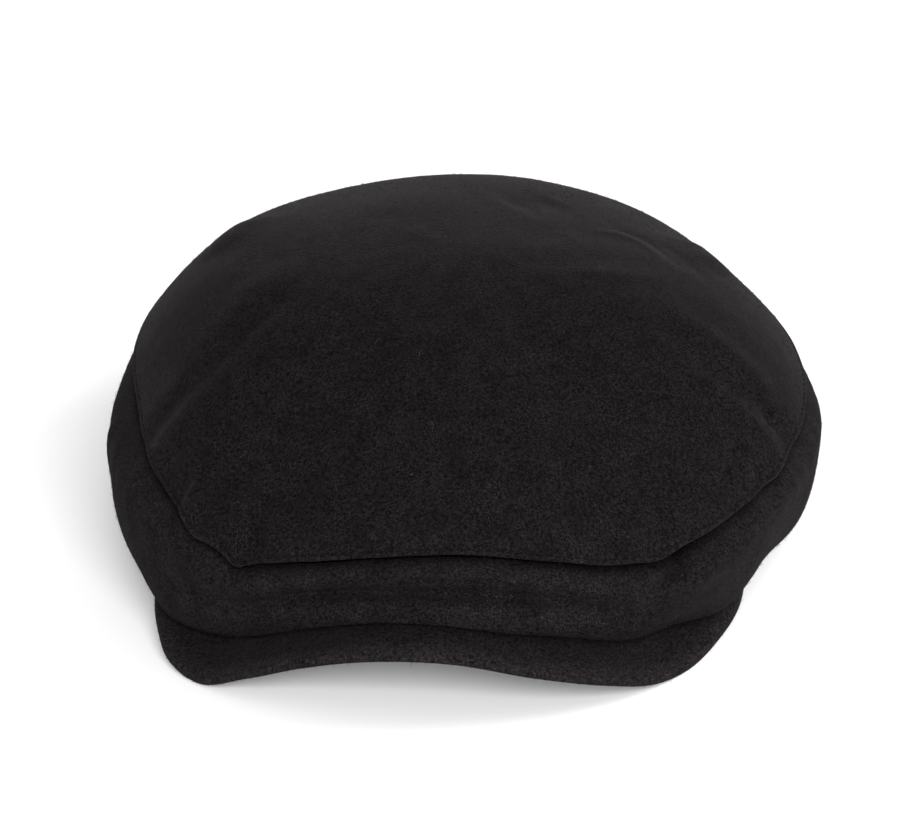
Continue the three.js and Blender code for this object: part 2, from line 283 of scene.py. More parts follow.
# %% Choose the angles of the columns
CLOTH = 1.8
FRONT_STEP, BACK_STEP = 0.62, 1.5
half_round = np.concatenate([np.arange(0, 100, FRONT_STEP), np.arange(100, 178.3, BACK_STEP),
                             180 - np.array([1.1, 0.7, 0.42, 0.25, 0.12])])
EVERY_ANGLE = np.concatenate([[-180], -half_round[:0:-1], half_round])
AROUND = len(EVERY_ANGLE)
print(AROUND, "columns round the crown")


# %% Shape the outer face of the top panel
CORNERS_FROM = 0.86


def dome(angle, share):
    drop = APEX_HEIGHT - crown("seam_z", angle)
    full = crown("fullness", angle)
    fallen = full * share ** 2 + (1 - full) * share ** 6
    corner_r, corner_z = seam_corners(angle)
    near_edge = ease((share - CORNERS_FROM) / (1 - CORNERS_FROM))
    return (crown("seam_r", angle) * share + corner_r * near_edge,
            APEX_HEIGHT - drop * fallen + corner_z * near_edge)


def soft_noise(grid, size, seed):
    """Smooth hills and hollows between -1 and 1, each about size millimetres wide."""
    flat = grid.reshape(-1, 3) / size + seed * 17.3
    return np.array([noise.noise(Vector(p)) for p in flat]).reshape(grid.shape[:2])


def row_lengths(grid):
    """How far each point is down its own column, in millimetres."""
    step = np.linalg.norm(np.diff(grid, axis=0), axis=-1)
    return np.concatenate([np.zeros((1, grid.shape[1])), np.cumsum(step, axis=0)])


DOME_ROWS, EDGE_ROWS, EDGE_SHARE, EDGE_IN = 88, 26, 0.93, 0.35
SWELL, SWELL_SIZE, RIPPLE, RIPPLE_SIZE = 0.5, 38, 0.10, 9
HELD_SHARE, HELD_LEAST = 0.02, 0.45
share = np.concatenate([np.linspace(0, EDGE_SHARE, DOME_ROWS),
                        np.linspace(EDGE_SHARE, 1, EDGE_ROWS)[1:]])[:, None]
turned = np.broadcast_to(EVERY_ANGLE, (len(share), AROUND))
r, z = dome(turned, share)
r[-1] -= EDGE_IN
top_face = placed(turned, r, z)
plan_x, plan_y = (top_face[..., i] - CROWN_AXIS[i] for i in (0, 1))
relief = folds(plan_x, plan_y, TOP_FOLDS)
relief += SWELL * soft_noise(top_face, SWELL_SIZE, 1) * ease((1 - share) / 0.1)
relief += RIPPLE * soft_noise(top_face, RIPPLE_SIZE, 2)
relief *= np.clip((1 - share) / HELD_SHARE, HELD_LEAST, 1)
print("top panel's outer face", top_face.shape[:2], "relief mm",
      round(float(relief.min()), 2), "to", round(float(relief.max()), 2))

# %% Sink the line of stitches and swell the lip of the seam
STITCH_INSET, STITCH_SINK, STITCH_PULL = 1.7, 0.18, 0.40
STITCH_PITCH, STITCH_DASH, THREAD, PUCKER = 3.1, 2.5, 0.34, 0.35
LIP_SWELL, LIP_INSET, LIP_WIDTH = 0.25, 0.4, 0.8
lengths = row_lengths(top_face)
from_seam = lengths[-1] - lengths
stitch_run = EVERY_ANGLE * MM_PER_DEGREE
pucker = 1 + PUCKER * np.sin(stitch_run * 2 * np.pi / STITCH_PITCH)
relief -= STITCH_SINK * pucker * bell((from_seam - STITCH_INSET) / STITCH_PULL)
relief += LIP_SWELL * bell((from_seam - LIP_INSET) / LIP_WIDTH)
top_face = top_face + outward(top_face) * relief[..., None]
print("stitches", STITCH_INSET, "mm inside the seam")


# %% Turn the top panel's edge over and give it an inner side
ROLL_STEPS, TOP_INNER_ROWS = 5, 36


def rolled_edge(face, thickness, steps):
    """Rows of points that carry a face over its lower edge to its inner side."""
    down, out = way_down(face)[-1], outward(face)[-1]
    half = thickness / 2
    middle = face[-1] - out * half
    turns = np.radians(np.linspace(0, 180, steps + 2)[1:-1])
    return np.array([middle + half * (math.cos(a) * out + math.sin(a) * down)
                     for a in turns])


def inner_face(face, thickness, rows):
    """The inner side of a face, read from its lower edge back up, with fewer rows."""
    inner = face - outward(face) * thickness
    picked = np.unique(np.round(np.linspace(0, len(face) - 1, rows)).astype(int))
    return inner[picked[::-1]]


top_grid = np.concatenate([top_face, rolled_edge(top_face, CLOTH, ROLL_STEPS),
                           inner_face(top_face, CLOTH, TOP_INNER_ROWS)])
print("top panel in all", top_grid.shape[:2])

# %% [markdown]
# The side panel starts under the edge of the top panel, swells to the bulge, rolls in low
# down and turns under to the hem. In front it settles in two soft rolls with a crease
# between them, and the lower roll lies on the peak. Two folds run down from the seam where
# the panel turns the corners of the front, and its ends are sewn together at the back.

# %% Place the side panel's section points
WALL_ROWS, TUCK_ROWS, CROWDED_UP = 88, 24, 1.25
# how far inside and below the top panel's edge it starts, with a little more below it in
# front and farther in at the left front corner, whose places and spreads are in degrees
UNDER_IN, UNDER_DOWN = 0.6, 1.5
FRONT_DOWN, FRONT_SPREAD = 0.7, 60.0
CORNER_IN, LEFT_CORNER, CORNER_SPREAD = 1.0, -50.0, 14.0


def through(points, u):
    """A smooth open curve through a few rows of points, from 0 to one less than their count."""
    k = np.minimum(np.floor(u).astype(int), len(points) - 2)
    t = u - k
    p = np.stack([2 * points[0] - points[1], *points, 2 * points[-1] - points[-2]])
    col = np.arange(p.shape[1])
    a, b, c, d = (p[k + i, col] for i in range(4))
    return 0.5 * (2 * b + (c - a) * t + (2 * a - 5 * b + 4 * c - d) * t ** 2
                  + (3 * b - a - 3 * c + d) * t ** 3)


def side_curve(angle, u):
    """0 at the seam, 1 at the bulge, 2 at the low roll and 3 at the hem."""
    corner_r, corner_z = seam_corners(angle)
    inset = UNDER_IN + CORNER_IN * bell((angle - LEFT_CORNER) / CORNER_SPREAD)
    radii = np.array([crown("seam_r", angle) + corner_r - inset, crown("bulge_r", angle),
                      crown("low_r", angle), opening_radius(angle) + HEM_THICKNESS])
    below = UNDER_DOWN + FRONT_DOWN * bell(angle / FRONT_SPREAD)
    heights = np.array([crown("seam_z", angle) + corner_z - below, crown("bulge_z", angle),
                        crown("low_z", angle), hem_height(angle) + HEM_DROP])
    return through(radii, u), through(heights, u)


def peak_point(name, angle):
    """One column of the peak's edge at an angle."""
    return around(PEAK_EDGE, PEAK_COLUMNS, name, angle)


def peak_top(angle, share):
    """The upper face of the peak, 0 at its root against the hem and 1 at its rounded edge."""
    edge_r, edge_z = peak_point("edge_r", angle), np.maximum(0, peak_point("edge_z", angle))
    root_r = opening_radius(angle) + HEM_THICKNESS + SEWN_GAP
    root_z = hem_height(angle) + HEM_DROP - REST_GAP
    shoulder = edge_r - PEAK_THICKNESS / 2
    bow = PEAK_BOW * (shoulder - root_r) * np.sin(np.pi * share)
    return (root_r + (shoulder - root_r) * share,
            root_z + (edge_z + PEAK_THICKNESS - root_z) * share + bow)


down_share = np.concatenate([np.linspace(0, 1, WALL_ROWS) ** CROWDED_UP * 2,
                             2 + np.linspace(0, 1, TUCK_ROWS + 1)[1:]])
side_rows = len(down_share)
wall = [side_curve(EVERY_ANGLE, u) for u in down_share]
side_r, side_z = np.array([w[0] for w in wall]), np.array([w[1] for w in wall])
side_face = placed(np.broadcast_to(EVERY_ANGLE, side_r.shape), side_r, side_z)
print("side panel's outer face", side_face.shape[:2])

# %% List the folds of the side panel
SIDE_FOLDS = [
    # angle and share of the way down at each point, then width mm, height mm and fades
    # the left front corner: a ridge that leaves the seam, with a dent on each side
    ([(-46.5, 0.0), (-44.5, 0.19), (-43, 0.31), (-41.5, 0.42), (-39, 0.62)], 2.0, 0.5, 0, 0.5),
    ([(-41, 0.08), (-39, 0.30), (-36, 0.55), (-34, 0.75)], 4.5, -1.2, 0.2, 0.4),
    ([(-35.5, 0.06), (-34.5, 0.16), (-36, 0.26)], 2.6, -0.8, 0.2, 0.4),
    ([(-54, 0.06), (-51, 0.30), (-48, 0.60)], 4.0, -0.9, 0.3, 0.4),
    # the right front corner: a deep fold under the seam and a full roll beside it
    ([(33.5, 0.0), (31.5, 0.15), (28.5, 0.42), (26, 0.65)], 3.2, -3.3, 0, 0.4),
    ([(38.5, 0.03), (36.5, 0.20), (33.5, 0.45), (32, 0.72)], 7.0, 1.5, 0.3, 0.4),
    # two fine grooves between the rolls above the peak
    ([(-12, 0.50), (-4, 0.52), (6, 0.52), (14, 0.50)], 1.1, -0.45, 0.4, 0.4),
    ([(-29, 0.62), (-18, 0.625), (-8, 0.625), (2, 0.62)], 1.0, -0.6, 0.3, 0.5),
    # soft upright streaks at the sides
    ([(60, 0.0), (60.5, 0.15), (60.5, 0.34), (63.5, 0.6)], 2.0, 0.9, 0, 0.5),
    ([(65, 0.05), (66, 0.25), (70, 0.5)], 3.2, -0.8, 0.3, 0.4),
    ([(54, 0.04), (53, 0.2), (53, 0.4)], 3.4, -0.8, 0.2, 0.5),
    ([(-72, 0.1), (-71, 0.4), (-68, 0.7)], 3.0, -0.6, 0.3, 0.4),
    ([(-63, 0.1), (-62, 0.4), (-60, 0.7)], 2.6, 0.5, 0.3, 0.4),
    ([(-80, 0.2), (-79.5, 0.5), (-79, 0.8)], 4.0, 0.9, 0.4, 0.4),
    # the back settles in two long shallow dents
    ([(140, 0.2), (152, 0.5), (160, 0.85)], 9.0, -1.6, 0.3, 0.3),
    ([(-146, 0.15), (-154, 0.5), (-158, 0.85)], 9.0, -1.4, 0.3, 0.3),
    ([(104, 0.25), (110, 0.6), (112, 0.9)], 7.0, -1.2, 0.3, 0.3),
    ([(-108, 0.2), (-112, 0.6), (-114, 0.9)], 7.0, -1.1, 0.3, 0.3),
]
print(len(SIDE_FOLDS), "folds in the side panel")

# %% Press the folds into the side panel
WALL_FALL = 36.0
OVER_PEAK = (
    # share of the way down, spread and height as a part of the table's groove: a faint
    # hollow under the upper roll, and the crease between the rolls
    (0.54, 0.06, -0.22), (0.625, 0.055, -1.25),
)
SIDE_SWELL, SIDE_SWELL_SIZE, SIDE_RIPPLE, SIDE_RIPPLE_SIZE = 0.5, 34, 0.12, 10
HELD_BY_HEM = 0.8


def side_folds(angle, down, rows):
    """The folds of the side panel, whose lines are in degrees and shares of the way down."""
    scaled = [([(a * MM_PER_DEGREE, d * WALL_FALL) for a, d in line], *shape)
              for line, *shape in rows]
    return folds(angle * MM_PER_DEGREE, down * WALL_FALL, scaled)


down = np.minimum(down_share, 2)[:, None] / 2
angle = np.broadcast_to(EVERY_ANGLE, (side_rows, AROUND))
groove = np.maximum(0, crown("groove", angle))
relief = sum(groove * part * bell((down - at) / spread) for at, spread, part in OVER_PEAK)
relief = relief + side_folds(angle, np.broadcast_to(down, angle.shape), SIDE_FOLDS)
relief += (SIDE_SWELL * soft_noise(side_face, SIDE_SWELL_SIZE, 3)
           + SIDE_RIPPLE * soft_noise(side_face, SIDE_RIPPLE_SIZE, 4))
relief *= ease((3 - down_share[:, None]) / HELD_BY_HEM)
print("side panel's relief mm", round(float(relief.min()), 2), "to",
      round(float(relief.max()), 2))

# %% Close the side panel with a seam at the back
BACK_MM_PER_DEGREE = 2.3
SEAM_RISE, RISE_AWAY, RISE_WIDTH = 0.22, 1.6, 1.3
SEAM_SINK, SINK_WIDTH = 0.65, 0.55
EASED, EASED_AWAY, EASED_WIDTH, EASED_SIZE = 0.25, 7, 4, 8
from_back = (180 - np.abs(angle)) * BACK_MM_PER_DEGREE
relief += (SEAM_RISE * bell((from_back - RISE_AWAY) / RISE_WIDTH)
           - SEAM_SINK * bell(from_back / SINK_WIDTH))
relief += (EASED * bell((from_back - EASED_AWAY) / EASED_WIDTH)
           * soft_noise(side_face, EASED_SIZE, 6))
side_face = side_face + outward(side_face) * relief[..., None]
print("back seam, mm deep", SEAM_SINK)

# %% [markdown]
# The lower roll rests on the peak, so the cloth mustn't sink into it. A simulation could let
# it fall there, but the rest is known: each point that comes too low over the peak is lifted
# to it, with a rounded change that leaves no crease. Then the first rows are drawn in and up
# under the top panel's edge. The slot that stays open is the seam's dark line.


# %% Lay the side panel on the peak
SHOWN_GAP, ROLL_ROUNDING, PAST_EDGE = 1.7, 1.6, 10


def rested_on_peak(face):
    """Lifts the cloth where the peak lies under it, and leaves a thin gap."""
    x, y = face[..., 0] - CROWN_AXIS[0], face[..., 1] - CROWN_AXIS[1]
    at, r = np.degrees(np.arctan2(x, -y)), np.hypot(x, y)
    inside = (at > PEAK_EDGE[0, 0]) & (at < PEAK_EDGE[-1, 0])
    root, _ = peak_top(at, 0)
    shoulder, _ = peak_top(at, 1)
    share = np.clip((r - root) / np.maximum(shoulder - root, 0.1), 0, 1)
    floor = peak_top(at, share)[1] + SHOWN_GAP
    above = face[..., 2] - floor
    rounded = floor + 0.5 * (above + np.sqrt(above ** 2 + ROLL_ROUNDING ** 2))
    lift = inside & (r < shoulder + PAST_EDGE)
    face[..., 2] = np.where(lift, rounded, face[..., 2])
    return face


side_face = rested_on_peak(side_face)
print("lowest point of the side panel, mm", round(float(side_face[..., 2].min()), 1))

# %% Tuck the side panel's first rows under the edge above
TUCK_REACH, TUCK_DEPTH, TUCK_UNDER = 1.3, 0.9, 1.2
walked = row_lengths(side_face)
dip = TUCK_DEPTH * bell(walked / TUCK_REACH)
slide = TUCK_UNDER * bell(walked / TUCK_REACH)
side_face = (side_face - outward(side_face) * dip[..., None]
             - way_down(side_face) * slide[..., None])
side_inner = side_face - outward(side_face) * CLOTH
print("side panel's first row is",
      round(float(np.linalg.norm(side_face[0] - top_face[-1], axis=-1).mean()), 1),
      "mm from the edge above it")

# %% [markdown]
# The hem is the cloth's own edge turned up inside the opening. Its outer side meets the
# tuck, its bottom is rounded, and its top is a soft fold. The side panel is closed round
# its section, so the hem's rows join the tuck to the inner face.

# %% Add the hem and close the side panel's section
HEM_INNER_ROWS, SIDE_INNER_ROWS, TUCKED = 9, 48, 1.5
inside_r = opening_radius(EVERY_ANGLE)
bottom = hem_height(EVERY_ANGLE)


def hem_row(r, z):
    return placed(EVERY_ANGLE, inside_r + r, bottom + z)


half = HEM_THICKNESS / 2
half_turn = np.radians(np.linspace(0, 180, 7))[1:-1]
hem_rows = [hem_row(HEM_THICKNESS, HEM_DROP - TUCKED), hem_row(HEM_THICKNESS, half)]
hem_rows += [hem_row(half + half * math.cos(a), half - half * math.sin(a)) for a in half_turn]
hem_rows += [hem_row(0, v) for v in np.linspace(half, HEM_HEIGHT - half, HEM_INNER_ROWS)]
hem_rows += [hem_row(half - half * math.cos(a), HEM_HEIGHT - half + half * math.sin(a))
             for a in half_turn]
hem_rows += [hem_row(HEM_THICKNESS, v)
             for v in (HEM_HEIGHT - half, 13.0, 10.0, HEM_DROP + CLOTH + 0.6)]
hem = np.array(hem_rows)
picked = np.unique(np.round(np.linspace(0, side_rows - 3, SIDE_INNER_ROWS)).astype(int))
side_grid = np.concatenate([side_face, hem, side_inner[picked[::-1]]])
print("side panel in all", side_grid.shape[:2])

# %% [markdown]
# Inside the crown the raw edges of both panels hang below the seam as a narrow double strip.
# It is seen only from below, but it is what tells a sewn cap from a moulded one.

# %% Hang the seam allowance inside
ALLOWANCE, ALLOWANCE_CLOTH, ALLOWANCE_ROWS = (3.0, 12.0), 1.3, 9
OFF_WALL, HANGS_AWAY, WAVE_SIZE = 0.5, 1.6, 14
mean_walk = walked.mean(axis=1)
strip_rows = [int(np.argmin(np.abs(mean_walk - w)))
              for w in np.linspace(*ALLOWANCE, ALLOWANCE_ROWS)]
wall_out = outward(side_face)[strip_rows]
strip = side_inner[strip_rows] - wall_out * OFF_WALL
wave = 0.5 + 0.5 * soft_noise(strip, WAVE_SIZE, 5)
hang = np.linspace(0, 1, len(strip_rows))[:, None] ** 1.5
strip = strip - wall_out * (HANGS_AWAY * wave * hang)[..., None]
allowance_grid = np.concatenate([strip, (strip - wall_out * ALLOWANCE_CLOTH)[::-1]])
print("seam allowance", allowance_grid.shape[:2])

# %% [markdown]
# The peak is a thin curved board covered in cloth. It springs from the hem's front, arches
# up in the middle and comes down to the table at both corners. Its outer edge is a soft
# roll where the cloth wraps round the board.

# %% Shape the peak
PEAK_AROUND, PEAK_ROWS, PEAK_EDGE_STEPS = 320, 30, 13
peak_angle = np.linspace(PEAK_EDGE[0, 0], PEAK_EDGE[-1, 0], PEAK_AROUND)
upper = np.array([placed(peak_angle, *peak_top(peak_angle, share))
                  for share in np.linspace(0, 1, PEAK_ROWS)])
radius = PEAK_THICKNESS / 2
shoulder_r, shoulder_z = peak_top(peak_angle, 1)
edge = np.array([placed(peak_angle, shoulder_r + radius * math.cos(a),
                        shoulder_z - radius + radius * math.sin(a))
                 for a in np.radians(np.linspace(90, -90, PEAK_EDGE_STEPS))[1:-1]])
lower = upper[::-1] - np.array([0, 0, PEAK_THICKNESS])
peak_grid = np.concatenate([upper, edge, lower])
print("peak", peak_grid.shape[:2])

# %% [markdown]
# Woven cloth needs to know where each point lies on the flat cloth, so that the yarns run
# true over the folds. Each mesh carries such a map, called cloth, measured in metres: seen
# from above for the top panel and the peak, and unrolled for the side panel. It also carries
# one number for each row: above 0 where a pale highlight is painted along an edge, and
# below 0 where shade is painted into the seam, whose bottom no light reaches. A number kept
# on the mesh follows the edge exactly, which a texture in space wouldn't.


# %% Turn a grid into a mesh with its cloth map
def closed_on(grid, round_too, section_too):
    if section_too:
        grid = np.concatenate([grid, grid[:1]])
    return np.concatenate([grid, grid[:, :1]], axis=1) if round_too else grid


def seen_from_above(grid, round_too=True, section_too=False):
    return closed_on(grid, round_too, section_too)[..., :2] / 1000


def unrolled(grid, angle, section_too=True):
    whole = closed_on(grid, True, section_too)
    run = np.append(angle, angle[0] + 360) * MM_PER_DEGREE
    return np.stack([np.broadcast_to(run, whole.shape[:2]), row_lengths(whole)], -1) / 1000


def cloth_mesh(name, grid, flat, painted_light, closed_round=True, closed_section=False):
    """A smooth mesh over a grid in millimetres. A first or last row in one place becomes a point."""
    rows, cols = grid.shape[:2]
    # each row's number of painted highlight or painted shade is kept on its points
    points, painted_light_attribute, index = [], [], np.zeros((rows, cols), int)
    for k in range(rows):
        if np.ptp(grid[k], axis=0).max() < 1e-6:
            index[k] = len(points)
            points.append(grid[k, 0])
            painted_light_attribute.append(painted_light[k])
        else:
            index[k] = len(points) + np.arange(cols)
            points.extend(grid[k])
            painted_light_attribute.extend([painted_light[k]] * cols)
    faces, places = [], []
    for k in range(rows if closed_section else rows - 1):
        k2 = (k + 1) % rows
        for c in range(cols if closed_round else cols - 1):
            c2 = (c + 1) % cols
            ring = [index[k, c], index[k2, c], index[k2, c2], index[k, c2]]
            spots = [flat[k, c], flat[k + 1, c], flat[k + 1, c + 1], flat[k, c + 1]]
            kept = [i for i, v in enumerate(ring) if v != ring[i - 1]]
            if len(kept) > 2:
                faces.append([int(ring[i]) for i in kept])
                places += [spots[i] for i in kept]
    if not closed_round:
        for side in (index[:, 0][::-1], index[:, -1]):
            faces.append([int(v) for v in side])
            places += [np.array(points[v])[1:] / 1000 for v in side]
    mesh = bpy.data.meshes.new(name)
    mesh.from_pydata((np.array(points) / 1000).tolist(), [], faces)
    cloth_map = mesh.uv_layers.new(name="cloth")
    cloth_map.uv.foreach_set("vector", np.array(places, np.float32).ravel())
    # the painted highlight and shade, one number for each point
    mesh.attributes.new("painted_light", "FLOAT", "POINT").data.foreach_set("value", painted_light_attribute)
    mesh.validate()
    mesh.shade_smooth()
    piece = bpy.data.objects.new(name, mesh)
    bpy.context.scene.collection.objects.link(piece)
    print(name, len(mesh.vertices), "points", len(mesh.polygons), "faces")
    return piece


# %% Paint highlights on the edges and shade in the seam
LIP_HIGHLIGHT_REACH, BORDER_HIGHLIGHT, BORDER_REACH = 1.0, 0.4, 10
ROLLED_HIGHLIGHT, ROLLED_ROWS = 0.5, 3
PEAK_HIGHLIGHT_FROM = 0.92
SEAM_PAINTED_SHADE, DARK_REACH = 2.6, 2.0
to_seam = from_seam.mean(axis=1)
top_painted_highlight = np.zeros(len(top_grid))
# painted highlight along the top panel's lip, over a wider band inside the seam and on its rolled
# edge
top_painted_highlight[:len(top_face)] = bell(to_seam / LIP_HIGHLIGHT_REACH) + BORDER_HIGHLIGHT * bell(to_seam / BORDER_REACH)
top_painted_highlight[len(top_face):len(top_face) + ROLLED_ROWS] = ROLLED_HIGHLIGHT
side_painted_shade = np.zeros(len(side_grid))
# painted shade in the side panel where it runs into the slot under the seam
side_painted_shade[:side_rows] = -SEAM_PAINTED_SHADE * bell(mean_walk / DARK_REACH)
# painted highlight along the peak's outer edge, where it catches the light from the table
near_peak_edge = ease((np.linspace(0, 1, PEAK_ROWS) - PEAK_HIGHLIGHT_FROM) / (1 - PEAK_HIGHLIGHT_FROM))
peak_painted_highlight = np.concatenate([near_peak_edge, np.ones(len(edge)), np.zeros(PEAK_ROWS)])
print("rub from", round(float(side_painted_shade.min()), 2), "to", round(float(top_painted_highlight.max()), 2))

# %% Make the sewn pieces
top_panel = cloth_mesh("cap_top", top_grid, seen_from_above(top_grid), top_painted_highlight)
side_panel = cloth_mesh("cap_side", side_grid, unrolled(side_grid, EVERY_ANGLE), side_painted_shade,
                        closed_section=True)
peak = cloth_mesh("cap_peak", peak_grid, seen_from_above(peak_grid, False, True), peak_painted_highlight,
                  closed_round=False, closed_section=True)
allowance = cloth_mesh("cap_seam_allowance", allowance_grid,
                       unrolled(allowance_grid, EVERY_ANGLE),
                       np.zeros(len(allowance_grid)), closed_section=True)

# %% [markdown]
# Sewing thread is seen as short dashes that dip into the cloth at both ends. A run of
# stitches follows a line of points on the cloth, and each dash is a thin closed tube. The
# stitches inside the seam sink in their groove, and a second run holds the hem.


# %% Sew runs of stitches
STITCH_RINGS = np.array([0.35, 0.9, 1, 1, 0.9, 0.35])
STITCH_SIDES, STITCH_ARCH, STITCH_SUNK = 6, 0.9, 0.55


def stitches(name, line, out, pitch, dash, thread):
    """Closed thin tubes along a closed line of points in millimetres."""
    line, out = np.vstack([line, line[:1]]), np.vstack([out, out[:1]])
    run = np.concatenate([[0], np.cumsum(np.linalg.norm(np.diff(line, axis=0), axis=1))])
    count, rings, sides = int(run[-1] // pitch), len(STITCH_RINGS), STITCH_SIDES
    stations = np.linspace(0, 1, rings)
    at = (np.arange(count)[:, None] * (run[-1] / count) + stations * dash).ravel()
    middle = np.stack([np.interp(at, run, line[:, i]) for i in range(3)], -1)
    up = unit(np.stack([np.interp(at, run, out[:, i]) for i in range(3)], -1))
    arch = np.tile(np.sin(np.pi * stations), count)[:, None]
    middle = (middle + up * (arch * STITCH_ARCH - STITCH_SUNK) * thread).reshape(count, rings, 3)
    up = up.reshape(count, rings, 3)
    ahead = unit(np.gradient(middle, axis=1))
    side = unit(np.cross(ahead, up))
    thick = (thread / 2 * STITCH_RINGS)[:, None]
    ring = [middle + thick * (math.cos(a) * side + math.sin(a) * up)
            for a in np.radians(np.arange(0, 360, 360 / sides))]
    points = np.stack(ring, 2).reshape(-1, 3)
    corner, faces = np.arange(sides), []
    for first in range(0, len(points), rings * sides):
        for start in range(first, first + (rings - 1) * sides, sides):
            near, far = start + corner, start + sides + corner
            faces += np.stack([near, np.roll(near, -1), np.roll(far, -1), far], 1).tolist()
        last = first + (rings - 1) * sides
        faces += [(first + corner)[::-1].tolist(), (last + corner).tolist()]
    mesh = bpy.data.meshes.new(name)
    mesh.from_pydata((points / 1000).tolist(), [], faces)
    mesh.shade_smooth()
    piece = bpy.data.objects.new(name, mesh)
    bpy.context.scene.collection.objects.link(piece)
    print(name, count, "stitches")
    return piece


sewn_row = int(np.argmin(np.abs(from_seam.mean(axis=1) - STITCH_INSET)))
edge_stitches = stitches("cap_edge_stitches", top_face[sewn_row], outward(top_face)[sewn_row],
                         STITCH_PITCH, STITCH_DASH, THREAD)
HEM_STITCH_HEIGHT, HEM_PITCH, HEM_DASH, HEM_THREAD = 14.5, 3.4, 2.6, 0.42
hem_line = hem_row(0, HEM_STITCH_HEIGHT)
hem_inward = unit((np.array([*CROWN_AXIS, 0]) - hem_line) * [1, 1, 0])
hem_stitches = stitches("cap_hem_stitches", hem_line, hem_inward,
                        HEM_PITCH, HEM_DASH, HEM_THREAD)

# %% [markdown]
# Felted wool is covered in short loose fibres. They make its outline furry and show as pale
# specks against the dark cloth. Each fibre here is a thin three-sided strand that leaves the
# cloth at a low angle and bends. They are spread evenly over the area, with a fixed seed.


# %% Grow a nap of loose fibres
TABLE_CLEAR, ROOTED = 0.05, 0.1
LIFT, LIFT_LOW, BEND = (0.05, 0.75), 1.4, 0.35


def nap(name, grid, count, seed, length=(0.7, 2.4), thick=0.05):
    """Three-sided bent strands, spread over a grid by area, that end in a point."""
    rng = np.random.default_rng(seed)
    out = outward(grid)
    a, b, c, d = grid[:-1, :-1], grid[1:, :-1], grid[1:, 1:], grid[:-1, 1:]
    area = np.linalg.norm(np.cross(c - a, d - b), axis=-1).ravel()
    cell = rng.choice(len(area), count, p=area / area.sum())
    k, j = np.divmod(cell, grid.shape[1] - 1)
    s, t = rng.random((2, count, 1))

    def mixed(g):
        return ((1 - s) * (1 - t) * g[k, j] + s * (1 - t) * g[k + 1, j]
                + s * t * g[k + 1, j + 1] + (1 - s) * t * g[k, j + 1])

    root, up = mixed(grid), unit(mixed(out))
    flat = rng.normal(size=(count, 3))
    flat = unit(flat - (flat * up).sum(-1, keepdims=True) * up)
    side = np.cross(up, flat)
    long = rng.uniform(*length, (count, 1)) * rng.uniform(0.5, 1, (count, 1))
    lift = rng.uniform(*LIFT, (count, 1)) ** LIFT_LOW
    bend = rng.normal(0, BEND, (count, 1))
    middle = root + long * 0.5 * (flat + up * lift * 1.3 + side * bend * 0.3)
    tip = root + long * (flat * 0.92 + up * lift * 0.85 + side * bend)
    root = root - up * ROOTED
    turn = [math.cos(v) * side + math.sin(v) * up for v in np.radians((90, 210, 330))]
    points = np.stack([root + w * thick for w in turn]
                      + [middle + w * thick * 0.8 for w in turn] + [tip], 1).reshape(-1, 3)
    points[:, 2] = np.maximum(points[:, 2], TABLE_CLEAR)
    one = np.array([(i, (i + 1) % 3, 3 + (i + 1) % 3) for i in range(3)]
                   + [(i, 3 + (i + 1) % 3, 3 + i) for i in range(3)]
                   + [(3 + i, 3 + (i + 1) % 3, 6) for i in range(3)])
    faces = (np.arange(count)[:, None, None] * 7 + one).reshape(-1, 3)
    mesh = bpy.data.meshes.new(name)
    mesh.from_pydata((points / 1000).tolist(), [], faces.tolist())
    mesh.shade_smooth()
    piece = bpy.data.objects.new(name, mesh)
    bpy.context.scene.collection.objects.link(piece)
    print(name, count, "fibres")
    return piece


NAP_ROWS = WALL_ROWS + 12
LINT = {"length": (0.8, 2.6), "thick": 0.075}
top_nap = nap("cap_top_nap", top_face, 12000, 11)
side_nap = nap("cap_side_nap", side_face[:NAP_ROWS], 14000, 12)
peak_nap = nap("cap_peak_nap", np.concatenate([upper, edge]), 3600, 13)
lint = nap("cap_lint", top_face, 260, 14, **LINT)
side_lint = nap("cap_side_lint", side_face[:WALL_ROWS], 300, 15, **LINT)

# %% [markdown]
# The cloth is wool that was woven and then felted until its fibres cover the weave. It is
# almost black, with paler fibres caught in it. One node group makes the colour, the
# roughness and the height: two noises drawn out along the cloth map stand for the yarns,
# the finer noise of the nap lies over them, and pale flecks and a slow mottle come last. The
# colour is then made paler by a painted highlight or darker by painted shade, as the number
# that the mesh carries says. Each piece has its own values, and the side panel and the peak
# get paler colours that paint in the light they catch. The sheen of the nap is the same all
# over, so it is set on the shader itself.


# %% Start the felt group
def new_group(name, inputs, outputs):
    group = bpy.data.node_groups.new(name, "ShaderNodeTree")
    for label, kind, value in inputs:
        socket = group.interface.new_socket(label, in_out="INPUT", socket_type=kind)
        socket.default_value = value
    for label, kind in outputs:
        group.interface.new_socket(label, in_out="OUTPUT", socket_type=kind)
    return group


def node(tree, kind, inputs=(), **settings):
    made = tree.nodes.new(kind)
    for key, value in settings.items():
        setattr(made, key, value)
    for key, value in dict(inputs).items():
        made.inputs[key].default_value = value
    return made


felt = new_group(
    "felted_wool",
    [("Cloth Colour", "NodeSocketColor", (0.004, 0.004, 0.004, 1)),
     ("Fibre Colour", "NodeSocketColor", (0.02, 0.02, 0.02, 1)),
     ("Yarns Per Metre", "NodeSocketFloat", 2300.0),
     ("Weave", "NodeSocketFloat", 0.5),
     ("Nap Scale", "NodeSocketFloat", 900.0),
     ("Flecks", "NodeSocketFloat", 0.5),
     ("Mottle", "NodeSocketFloat", 0.25),
     ("Painted Light", "NodeSocketFloat", 0.6)],
    [("Color", "NodeSocketColor"), ("Roughness", "NodeSocketFloat"),
     ("Height", "NodeSocketFloat")])
into = node(felt, "NodeGroupInput")
out = node(felt, "NodeGroupOutput")
link = felt.links.new
print("felt group takes", [s.name for s in into.outputs if s.name])

